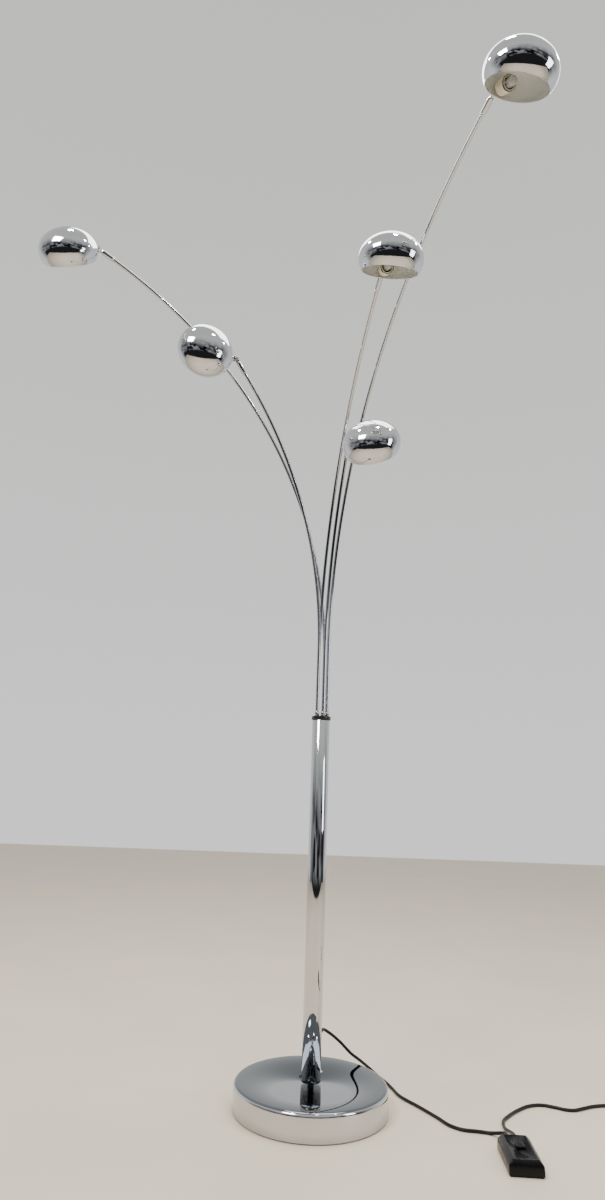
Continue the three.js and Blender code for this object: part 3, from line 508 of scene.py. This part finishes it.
plug_frame = move(*PLUG_AT, PLUG_AXIS)
plug_sections = [(-17, 32, 12, 6, 0), (-16.4, 33.6, 13.6, 6, 0), (-15, 34, 14, 6, 0), (-4, 34, 14, 6, 0),
                 (1, 30, 13.4, 5, 0), (6, 25, 12.4, 4, 0), (11, 18, 11.6, 3, 0), (16, 13, 11.2, 2.4, 0),
                 (18, 11.2, 11.2, 2, 0)]
for groove in range(5):
    y = 20 + groove * 3.2
    r = 11 - groove * 0.5
    plug_sections += [(y, r, r, 2, 0), (y + 0.3, r - 1.4, r - 1.4, 2, 0), (y + 1.5, r - 1.4, r - 1.4, 2, 0),
                      (y + 1.8, r, r, 2, 0)]
plug_sections += [(36.4, 8.6, 8.6, 2, 0), (37, 8, 8, 2, 0)]
plug = loft("plug_moulding", plug_sections, [RUBBER], plug_frame, "stand", "rubber", "plug_body")
for index, side in enumerate((-1, 1)):
    place = plug_frame @ move(side * 9.5, -17.3, 0) @ turn("X", 90)
    bm = bmesh.new()
    pin_outline = [(0, 0), (2, 0), (2, 10), (1.7, 10.2), (1.7, 18), (1.2, 18.8), (0, 19)]
    lathe_into(bm, rounded(pin_outline, 0.3), PIN_SIDES, place)
    pin = finish_mesh(f"plug_pin_{index + 1}_turned", bm, [BRASS])
    put(pin, "stand", "brass", f"plug_pin_{index + 1}")

bm = bmesh.new()
tie_centre = move(coil_x - COIL_MEAN, coil_y, 0)
outer = [(x, z + (TIE_TOP + TIE_BOTTOM) / 2)
         for x, z in superellipse(2 * TIE_HALF, TIE_TOP - TIE_BOTTOM, 4)]
inner = [(x * TIE_INNER, (z - TIE_MIDDLE) * TIE_INNER + TIE_MIDDLE) for x, z in outer]
ends = (-4.2, -3.6, 3.6, 4.2)
rings = []
for y, loop, ease_in in ((ends[0], outer, 0.96), (ends[1], outer, 1.0), (ends[2], outer, 1.0),
                         (ends[3], outer, 0.96), (ends[3], inner, 1.0), (ends[0], inner, 1.0)):
    points = [Vector((x * ease_in, y, (z - TIE_MIDDLE) * ease_in + TIE_MIDDLE)) for x, z in loop]
    rings.append([bm.verts.new(tie_centre @ point * MM) for point in points])
skin(bm, [*rings, rings[0]], ends=False)
bmesh.ops.recalc_face_normals(bm, faces=bm.faces)
tie = put(finish_mesh("coil_band", bm, [BLACK]), "stand", "black_plastic", "coil_tie")

# ------------------------------------------------------------------ dimmer
bm = bmesh.new()
half_width, half_length = DIMMER_WIDTH / 2, DIMMER_LENGTH / 2
levels = [  # z, half width, near end y, far end y
    (2.0, half_width - 0.6, -half_length + 0.6, half_length - 0.6),
    (2.6, half_width, -half_length, half_length),
    (9.0, half_width, -half_length, half_length),
    (17.0, half_width - 0.6, -half_length + 0.8, half_length - 0.4),
    (21.0, half_width - 4.0, -half_length + 2.0, half_length - 1.6),
    (24.3, half_width - 7.6, -half_length + 4.0, half_length - 3.2),
    (DIMMER_HEIGHT, half_width - 8.6, -half_length + 5.0, half_length - 4.2),
]


def soft_rectangle(half_x, low_y, high_y, corner, steps=5):
    out = []
    for cx, cy, start in ((half_x - corner, high_y - corner, 0), (-half_x + corner, high_y - corner, 90),
                          (-half_x + corner, low_y + corner, 180), (half_x - corner, low_y + corner, 270)):
        for s in range(steps + 1):
            a = rad(start + 90 * s / steps)
            out.append((cx + corner * math.cos(a), cy + corner * math.sin(a)))
    return out


def dimmer_ring(bm, outline, z, wide=1.0, long=1.0):
    """One ring of vertices round the dimmer at height z, the outline scaled by wide and long."""
    return [bm.verts.new(from_dimmer(x * wide, y * long, z) * MM) for x, y in outline]


rings = [dimmer_ring(bm, soft_rectangle(wide, near, far, 2.2), z) for z, wide, near, far in levels]
inset = soft_rectangle(half_width - 10.2, -half_length + 6.6, half_length - 5.8, 1.6)
rings.append(dimmer_ring(bm, inset, DIMMER_HEIGHT))
rings.append(dimmer_ring(bm, inset, DIMMER_HEIGHT - TOP_STEP))
skin(bm, rings)
dimmer_shell = put(finish_mesh("dimmer_shell", bm, [BLACK], 25.0), "stand", "black_plastic", "dimmer_cover")

bm = bmesh.new()
outline = soft_rectangle(7, -8, 8, 1.6)
stages = [(DIMMER_HEIGHT - TOP_STEP + 0.2, 1.0), (DIMMER_HEIGHT + 2.6, 1.0),
          (DIMMER_HEIGHT + 3.6, 0.9), (DIMMER_HEIGHT + 4.0, 0.78)]
rings = [dimmer_ring(bm, outline, z, share, share) for z, share in stages]
skin(bm, rings)
for rib in range(-2, 3):
    ridge = soft_rectangle(4.6, rib * 2.2 - 0.5, rib * 2.2 + 0.5, 0.4, 3)
    low = dimmer_ring(bm, ridge, DIMMER_HEIGHT + 3.8)
    top = dimmer_ring(bm, ridge, DIMMER_HEIGHT + 4.4, 0.97)
    skin(bm, [low, top])
slider = finish_mesh("dimmer_thumb", bm, [SLIDER], 25.0)
put(slider, "dimmer_slider", "black_plastic", "dimmer_slider")

# ------------------------------------------------------------------ base and pole
edge = []
for i in range(13):
    a = rad(90 * i / 12)
    edge.append((BASE_RADIUS - BASE_EDGE + BASE_EDGE * math.cos(a),
                 BASE_HEIGHT - BASE_EDGE + BASE_EDGE * math.sin(a)))
inner_edge = [(r - 1.5, z - 1.2) for r, z in reversed(edge)]
cover_profile = [(BASE_RADIUS - 0.4, COVER_LIFT), (BASE_RADIUS, COVER_LIFT + 0.5), *edge, (6.3, BASE_HEIGHT),
                 (6.3, BASE_HEIGHT - 1.5), *inner_edge, (BASE_RADIUS - 1.5, COVER_LIFT)]
base_shell = lathe("base_shell", cover_profile, [CHROME, BASE_TOP_PAINTED_REFLECTION], BASE_SIDES)
# upward faces take the darker chrome: the painted reflection on the base's top
for face in base_shell.data.polygons:
    if face.normal.z > PAINTED_REFLECTION_FACING:
        face.material_index = 1
put(base_shell, "stand", "chrome", "base_cover")
pad_profile = [(0, 0), (PAD_RADIUS - 0.6, 0), (PAD_RADIUS, 0.6), (PAD_RADIUS, PAD_THICKNESS),
               (0, PAD_THICKNESS)]
put(lathe("base_foot_pad", pad_profile, [FOAM], PAD_SIDES), "stand", "foam", "base_pad")
pole_profile = [(POLE_RADIUS - 0.5, BASE_HEIGHT + 0.3), (POLE_RADIUS, BASE_HEIGHT + 0.8),
                (POLE_RADIUS, POLE_TOP - 0.5), (POLE_RADIUS - 0.5, POLE_TOP),
                (POLE_RADIUS - 1.5, POLE_TOP), (POLE_RADIUS - 1.5, BASE_HEIGHT + 0.3)]
put(lathe("pole", pole_profile, [CHROME], POLE_SIDES), "stand", "chrome", "pole_tube")
cap_bm = bmesh.new()
lathe_into(cap_bm, rounded([(0, 728), (17.2, 728), (17.2, POLE_TOP + 0.3), (CAP_RADIUS, POLE_TOP + 0.3),
                            (CAP_RADIUS, CAP_TOP - 0.2), (0, CAP_TOP - 0.2)], 1.1), POLE_SIDES, Matrix())
for arm in ARMS:
    a = rad(arm["hole"])
    place = move(HOLE_PITCH * math.cos(a), HOLE_PITCH * math.sin(a), 0)
    lathe_into(cap_bm, [(3.8, CAP_TOP - 0.6), (5.3, CAP_TOP - 0.6), (5.1, CAP_TOP + 0.1),
                        (3.8, CAP_TOP + 0.1)], TUBE_SIDES, place)
put(finish_mesh("pole_collar", cap_bm, [CAP_BLACK]), "stand", "black_plastic", "pole_cap")

# ------------------------------------------------------------------ arms
def arm_path(arm):
    """Centre line of the tube in its own plane: (x, z, angle) with x towards the bend."""
    total = (arm["length"] - arm["straight"] - STRAIGHT_END) / BEND_RADIUS
    line = [(0, -TUBE_BELOW, 0), (0, 0, 0), (0, arm["straight"] / 2, 0)]
    steps = 64
    for i in range(steps + 1):
        a = total * i / steps
        line.append((BEND_RADIUS * (1 - math.cos(a)), arm["straight"] + BEND_RADIUS * math.sin(a), a))
    x, z, a = line[-1]
    line.append((x + STRAIGHT_END * math.sin(a), z + STRAIGHT_END * math.cos(a), a))
    return line


def stadium(reach, count=14):
    """Outline (x, z) of a plate round about the pivot and straight at z = reach."""
    sign = 1 if reach > 0 else -1
    out = [(CHEEK_RADIUS, reach)]
    for i in range(count + 1):
        a = -sign * math.pi * i / count
        out.append((CHEEK_RADIUS * math.cos(a), CHEEK_RADIUS * math.sin(a)))
    out.append((-CHEEK_RADIUS, reach))
    return out


def dome_row(radius, height, count):
    rim = -math.asin(SKIRT_DROP / height)
    out = []
    for i in range(count + 1):
        a = rim + (math.pi / 2 - rim) * i / count
        out.append((0.0 if i == count else radius * math.cos(a), height * math.sin(a)))
    return out


tube_end = -PIVOT_OFFSET
sleeve_start = tube_end - SLEEVE_LENGTH
for arm in ARMS:
    k = arm["k"]
    a = rad(arm["hole"])
    root = move(HOLE_PITCH * math.cos(a), HOLE_PITCH * math.sin(a), CAP_TOP) @ turn("Z", arm["bend"])
    line = arm_path(arm)
    bm = bmesh.new()
    tube_into(bm, [(x, 0, z) for x, z, _ in line], TUBE_RADIUS, TUBE_SIDES, root)
    stop = [(3.7, GAP), (STOP_RADIUS - 0.4, GAP), (STOP_RADIUS, GAP + 0.4), (STOP_RADIUS, STOP_HEIGHT - 0.5),
            (STOP_RADIUS - 0.6, STOP_HEIGHT + GAP), (3.7, STOP_HEIGHT + GAP)]
    lathe_into(bm, stop, ROUND_SIDES, root)
    put(finish_mesh(f"arm_{k}_bent_tube", bm, [CHROME], 40), f"arm_{k}", "chrome",
        f"arm_{k}_tube")

    ex, ez, ea = line[-1]
    tip = root @ move(ex + PIVOT_OFFSET * math.sin(ea), 0, ez + PIVOT_OFFSET * math.cos(ea))
    fitting = tip @ turn("Y", math.degrees(ea)) @ turn("Z", arm["sleeve"])
    bm = bmesh.new()
    sleeve = [(TUBE_RADIUS + 0.05, sleeve_start), (SLEEVE_RADIUS, sleeve_start),
              (SLEEVE_RADIUS, sleeve_start + 2.2), (SLEEVE_RADIUS - 0.35, sleeve_start + 2.5),
              (SLEEVE_RADIUS - 0.35, sleeve_start + 3.2), (SLEEVE_RADIUS, sleeve_start + 3.5),
              (SLEEVE_RADIUS, tube_end), (SLEEVE_TIP, tube_end + SLEEVE_END),
              (0, tube_end + SLEEVE_END)]
    lathe_into(bm, rounded(sleeve, 0.5), FITTING_SIDES, fitting, closed=False)
    plate_into(bm, stadium(tube_end + SLEEVE_END - 1), -2, 2, fitting)
    screw_place = fitting @ move(0, 0, tube_end - SLEEVE_LENGTH * 0.55) @ turn("Y", -90)
    lathe_into(bm, [(0, SLEEVE_RADIUS + 0.15), (0.8, SLEEVE_RADIUS + 0.15), (0.8, SLEEVE_RADIUS + 0.5),
                    (1.7, SLEEVE_RADIUS + 0.5), (1.7, SLEEVE_RADIUS - 0.6), (0, SLEEVE_RADIUS - 0.6)],
               SCREW_SIDES, screw_place, 1)
    bmesh.ops.recalc_face_normals(bm, faces=bm.faces)
    put(finish_mesh(f"arm_{k}_end_sleeve", bm, [CHROME, DARK_STEEL], 30), f"arm_{k}", "chrome",
        f"arm_{k}_sleeve")

    bm = bmesh.new()
    across = fitting @ turn("X", 90)
    for sign in (1, -1):
        place = across @ (Matrix() if sign > 0 else turn("X", 180))
        lathe_into(bm, [(1.4, 0), (1.4, 4.8), (3.2, 4.8), (3.2, 5.6), (2.8, 6.1), (1.3, 6.3),
                        (1.3, 5.5), (0, 5.5)], TUBE_SIDES, place, closed=False)
    bmesh.ops.recalc_face_normals(bm, faces=bm.faces)
    put(finish_mesh(f"arm_{k}_pivot_pin", bm, [STEEL]), f"arm_{k}", "steel", f"arm_{k}_pivot_screw")

    knuckle = fitting @ turn("Y", arm["tilt"])
    bm = bmesh.new()
    hub = [(0, HUB_TOP - HUB_THICKNESS), (HUB_RADIUS, HUB_TOP - HUB_THICKNESS), (HUB_RADIUS, HUB_TOP),
           (NIPPLE_RADIUS, HUB_TOP), (NIPPLE_RADIUS, 18), (0, 18)]
    lathe_into(bm, rounded(hub, 0.6), FITTING_SIDES, knuckle)
    for low, high in ((CHEEK_INNER, CHEEK_OUTER), (-CHEEK_OUTER, -CHEEK_INNER)):
        plate_into(bm, stadium(HUB_TOP - HUB_THICKNESS / 2), low, high, knuckle)
    bmesh.ops.recalc_face_normals(bm, faces=bm.faces)
    put(finish_mesh(f"arm_{k}_fork", bm, [CHROME], 30), f"knuckle_{k}", "chrome", f"arm_{k}_knuckle")

    head_frame = knuckle @ turn("Z", arm["roll"])
    dome_frame = head_frame @ move(-JOINT_DROP, 0, DOME_Z) @ turn("Y", -90)
    bm = bmesh.new()
    outside = dome_row(DOME_RADIUS, DOME_HEIGHT, DOME_ROWS)
    inside = dome_row(DOME_RADIUS - DOME_WALL, DOME_HEIGHT - DOME_WALL, DOME_ROWS)
    rim = outside[0]
    bead = [(rim[0] - 0.1, rim[1] - 0.35), (rim[0] - 0.45, rim[1] - 0.6), (rim[0] - 0.85, rim[1] - 0.5)]
    lathe_into(bm, [*reversed(bead), *outside], DOME_SIDES, dome_frame, 0, closed=False)
    lathe_into(bm, [*reversed(inside), bead[-1]], DOME_SIDES, dome_frame, 1, closed=False)
    bmesh.ops.remove_doubles(bm, verts=bm.verts, dist=WELD)
    lathe_into(bm, rounded([(SHADE_HOLE, SEAT_Z), (BOSS_RADIUS, SEAT_Z), (BOSS_RADIUS, 15),
                            (SHADE_HOLE, 15)], 0.4), ROUND_SIDES, head_frame, 0)
    lathe_into(bm, [(SHADE_HOLE, 12), (BOSS_RADIUS + 1.5, 13.4), (BOSS_RADIUS, INNER_SEAT_Z),
                    (SHADE_HOLE, INNER_SEAT_Z)], ROUND_SIDES, head_frame, 1)
    put(finish_mesh(f"arm_{k}_dome", bm, [SHADE_CHROME, SHADE_INSIDE], 40), f"shade_{k}", "shade_chrome",
        f"arm_{k}_shade")

    mouth = HOLDER_START + HOLDER_LENGTH
    floor = HOLDER_START + HOLDER_FLOOR
    bm = bmesh.new()
    body = [(SHADE_HOLE, HOLDER_START), (BOSS_RADIUS, HOLDER_START),
            (HOLDER_RADIUS, HOLDER_START + 5)]
    for ring_start in (HOLDER_START + 9, HOLDER_START + 12, HOLDER_START + 15):
        body += [(HOLDER_RADIUS, ring_start), (HOLDER_RADIUS - 0.6, ring_start + 0.4),
                 (HOLDER_RADIUS - 0.6, ring_start + 1.2), (HOLDER_RADIUS, ring_start + 1.6)]
    body += [(HOLDER_RADIUS, mouth - 3.2), (HOLDER_RADIUS - 1.2, mouth - 3),
             (HOLDER_RADIUS - 1.2, mouth), (HOLDER_RADIUS - HOLDER_WALL, mouth),
             (HOLDER_RADIUS - HOLDER_WALL, floor), (SHADE_HOLE, floor)]
    lathe_into(bm, rounded(body, 0.4, closed=True), HOLDER_SIDES, head_frame, 0)
    band = [(HOLDER_RADIUS - 1.1, mouth - 2.9), (HOLDER_RADIUS, mouth - 2.9),
            (HOLDER_RADIUS, mouth - 0.2), (HOLDER_RADIUS - 1.1, mouth - 0.2)]
    lathe_into(bm, rounded(band, 0.3, closed=True), HOLDER_SIDES, head_frame, 1)
    put(finish_mesh(f"arm_{k}_socket", bm, [CREAM, DARK_STEEL], 30), f"shade_{k}", "cream",
        f"arm_{k}_lampholder")

    start = floor + GAP
    bm = bmesh.new()
    cap = [(0, start), (6, start), (6, start + 11), (6.4, start + 12), (6.4, start + 14)]
    for ring in range(4):
        cap.insert(2 + ring * 2, (6, start + 2 + ring * 2.2))
        cap.insert(3 + ring * 2, (5.6, start + 3.1 + ring * 2.2))
    lathe_into(bm, cap, ROUND_SIDES, head_frame, 1, closed=False)
    glass = [(6.4, start + 14), (BULB_RADIUS, start + 17), (BULB_RADIUS, start + BULB_LENGTH - 7)]
    for i in range(1, 9):
        t = rad(90 * i / 8)
        glass.append((BULB_RADIUS * math.cos(t) if i < 8 else 0.0, start + BULB_LENGTH - 7 + 7 * math.sin(t)))
    lathe_into(bm, glass, ROUND_SIDES, head_frame, 0, closed=False)
    bmesh.ops.remove_doubles(bm, verts=bm.verts, dist=WELD)
    put(finish_mesh(f"arm_{k}_lamp", bm, [BULB_GLASS, STEEL], 35), f"shade_{k}", "bulb_glass",
        f"arm_{k}_bulb")

# ------------------------------------------------------------------ CAD nodes that stay
KEPT = {
    "base_weight": IRON, "pole_foot": STEEL, "foot_washer": STEEL, "foot_nut": STEEL,
    "guide_plate": CAP_BLACK, "terminal_block": CREAM, "dimmer_base": BLACK,
}
for name, mat in KEPT.items():
    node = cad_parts[name]
    node.data.materials.clear()
    node.data.materials.append(mat)

# ------------------------------------------------------------------ floor, light
floor_mesh = bpy.data.meshes.new("floor")
floor_mesh.from_pydata([(-FLOOR_SIDE, FLOOR_NEAR, 0), (FLOOR_SIDE, FLOOR_NEAR, 0), (FLOOR_SIDE, FLOOR_FAR, 0),
                        (-FLOOR_SIDE, FLOOR_FAR, 0)], [], [(0, 1, 2, 3)])
floor_mesh.materials.append(material("floor", (0.86, 0.74, 0.58), 0.5, 0, 0.03, 0.2, 0.02, 300, 3))
floor_obj = bpy.data.objects.new("floor", floor_mesh)
bpy.context.scene.collection.objects.link(floor_obj)

world = bpy.data.worlds.new("studio")
bpy.context.scene.world = world
world.use_nodes = True
nodes, links = world.node_tree.nodes, world.node_tree.links


def span(source, low, high, start=0.0, end=1.0):
    """source carried from low..high to start..end, held at both ends."""
    node = nodes.new("ShaderNodeMapRange")
    for key, value in (("From Min", low), ("From Max", high), ("To Min", start), ("To Max", end)):
        node.inputs[key].default_value = value
    links.new(source, node.inputs["Value"])
    return node.outputs["Result"]


def blend_colours(factor, first, second):
    node = nodes.new("ShaderNodeMix")
    node.data_type = "RGBA"
    links.new(factor, node.inputs["Factor"])
    for socket, value in ((node.inputs[6], first), (node.inputs[7], second)):
        if isinstance(value, tuple):
            socket.default_value = (*value, 1)
        else:
            links.new(value, socket)
    return node.outputs[2]


sky = nodes.new("ShaderNodeTexCoord")
split = nodes.new("ShaderNodeSeparateXYZ")
links.new(sky.outputs["Generated"], split.inputs["Vector"])
squeeze = nodes.new("ShaderNodeMapping")
squeeze.inputs["Scale"].default_value = (2.2, 2.2, 3.4)
links.new(sky.outputs["Generated"], squeeze.inputs["Vector"])
patches = nodes.new("ShaderNodeTexVoronoi")
patches.feature = "SMOOTH_F1"
patches.inputs["Scale"].default_value = 2.3
patches.inputs["Smoothness"].default_value = 0.25
links.new(squeeze.outputs["Vector"], patches.inputs["Vector"])
tone = nodes.new("ShaderNodeSeparateColor")
links.new(patches.outputs["Color"], tone.inputs["Color"])
room = blend_colours(span(tone.outputs["Red"], 0.3, 0.8), (0.008, 0.008, 0.010), (0.34, 0.34, 0.35))
room = blend_colours(span(split.outputs["Z"], -0.02, -0.10), room, (0.02, 0.02, 0.022))
wall = blend_colours(span(split.outputs["Z"], 0.0, 0.9), (0.98, 0.99, 0.98), (0.72, 0.72, 0.69))
towards_room = nodes.new("ShaderNodeMath")
towards_room.operation = "MULTIPLY"
links.new(span(split.outputs["Y"], 0.35, -0.15), towards_room.inputs[0])
links.new(span(split.outputs["Z"], 0.72, 0.30), towards_room.inputs[1])
# the room's tones are there for the chrome to reflect; seen directly, the backdrop is plain
seen = nodes.new("ShaderNodeLightPath")
around = blend_colours(towards_room.outputs["Value"], wall, room)
links.new(blend_colours(seen.outputs["Is Camera Ray"], around, wall), nodes["Background"].inputs["Color"])
nodes["Background"].inputs["Strength"].default_value = 1.0


def area_light(name, location, target, size, power, colour=(1, 1, 1)):
    data = bpy.data.lights.new(name, "AREA")
    data.shape = "RECTANGLE"
    data.size, data.size_y = size
    data.energy = power
    data.color = colour
    obj = bpy.data.objects.new(name, data)
    bpy.context.scene.collection.objects.link(obj)
    obj.location = location
    obj.rotation_euler = (Vector(target) - Vector(location)).to_track_quat("-Z", "Y").to_euler()


area_light("key", (-1.3, -1.5, 2.7), (0, -0.2, 0.9), (0.8, 0.6), 42, (1.0, 0.98, 0.95))
area_light("fill", (2.4, -1.4, 1.7), (0, 0, 0.9), (0.7, 1.3), 20, (0.95, 0.97, 1.0))
area_light("top", (0.2, 0.6, 3.4), (0, 0, 0.8), (2.2, 1.2), 45)
for index, (x, y) in enumerate(((-0.7, -0.3), (0.25, -0.55), (1.0, -0.2))):
    area_light(f"ceiling_spot_{index}", (x, y, 2.75), (x, y, 0), (0.12, 0.12), 6)
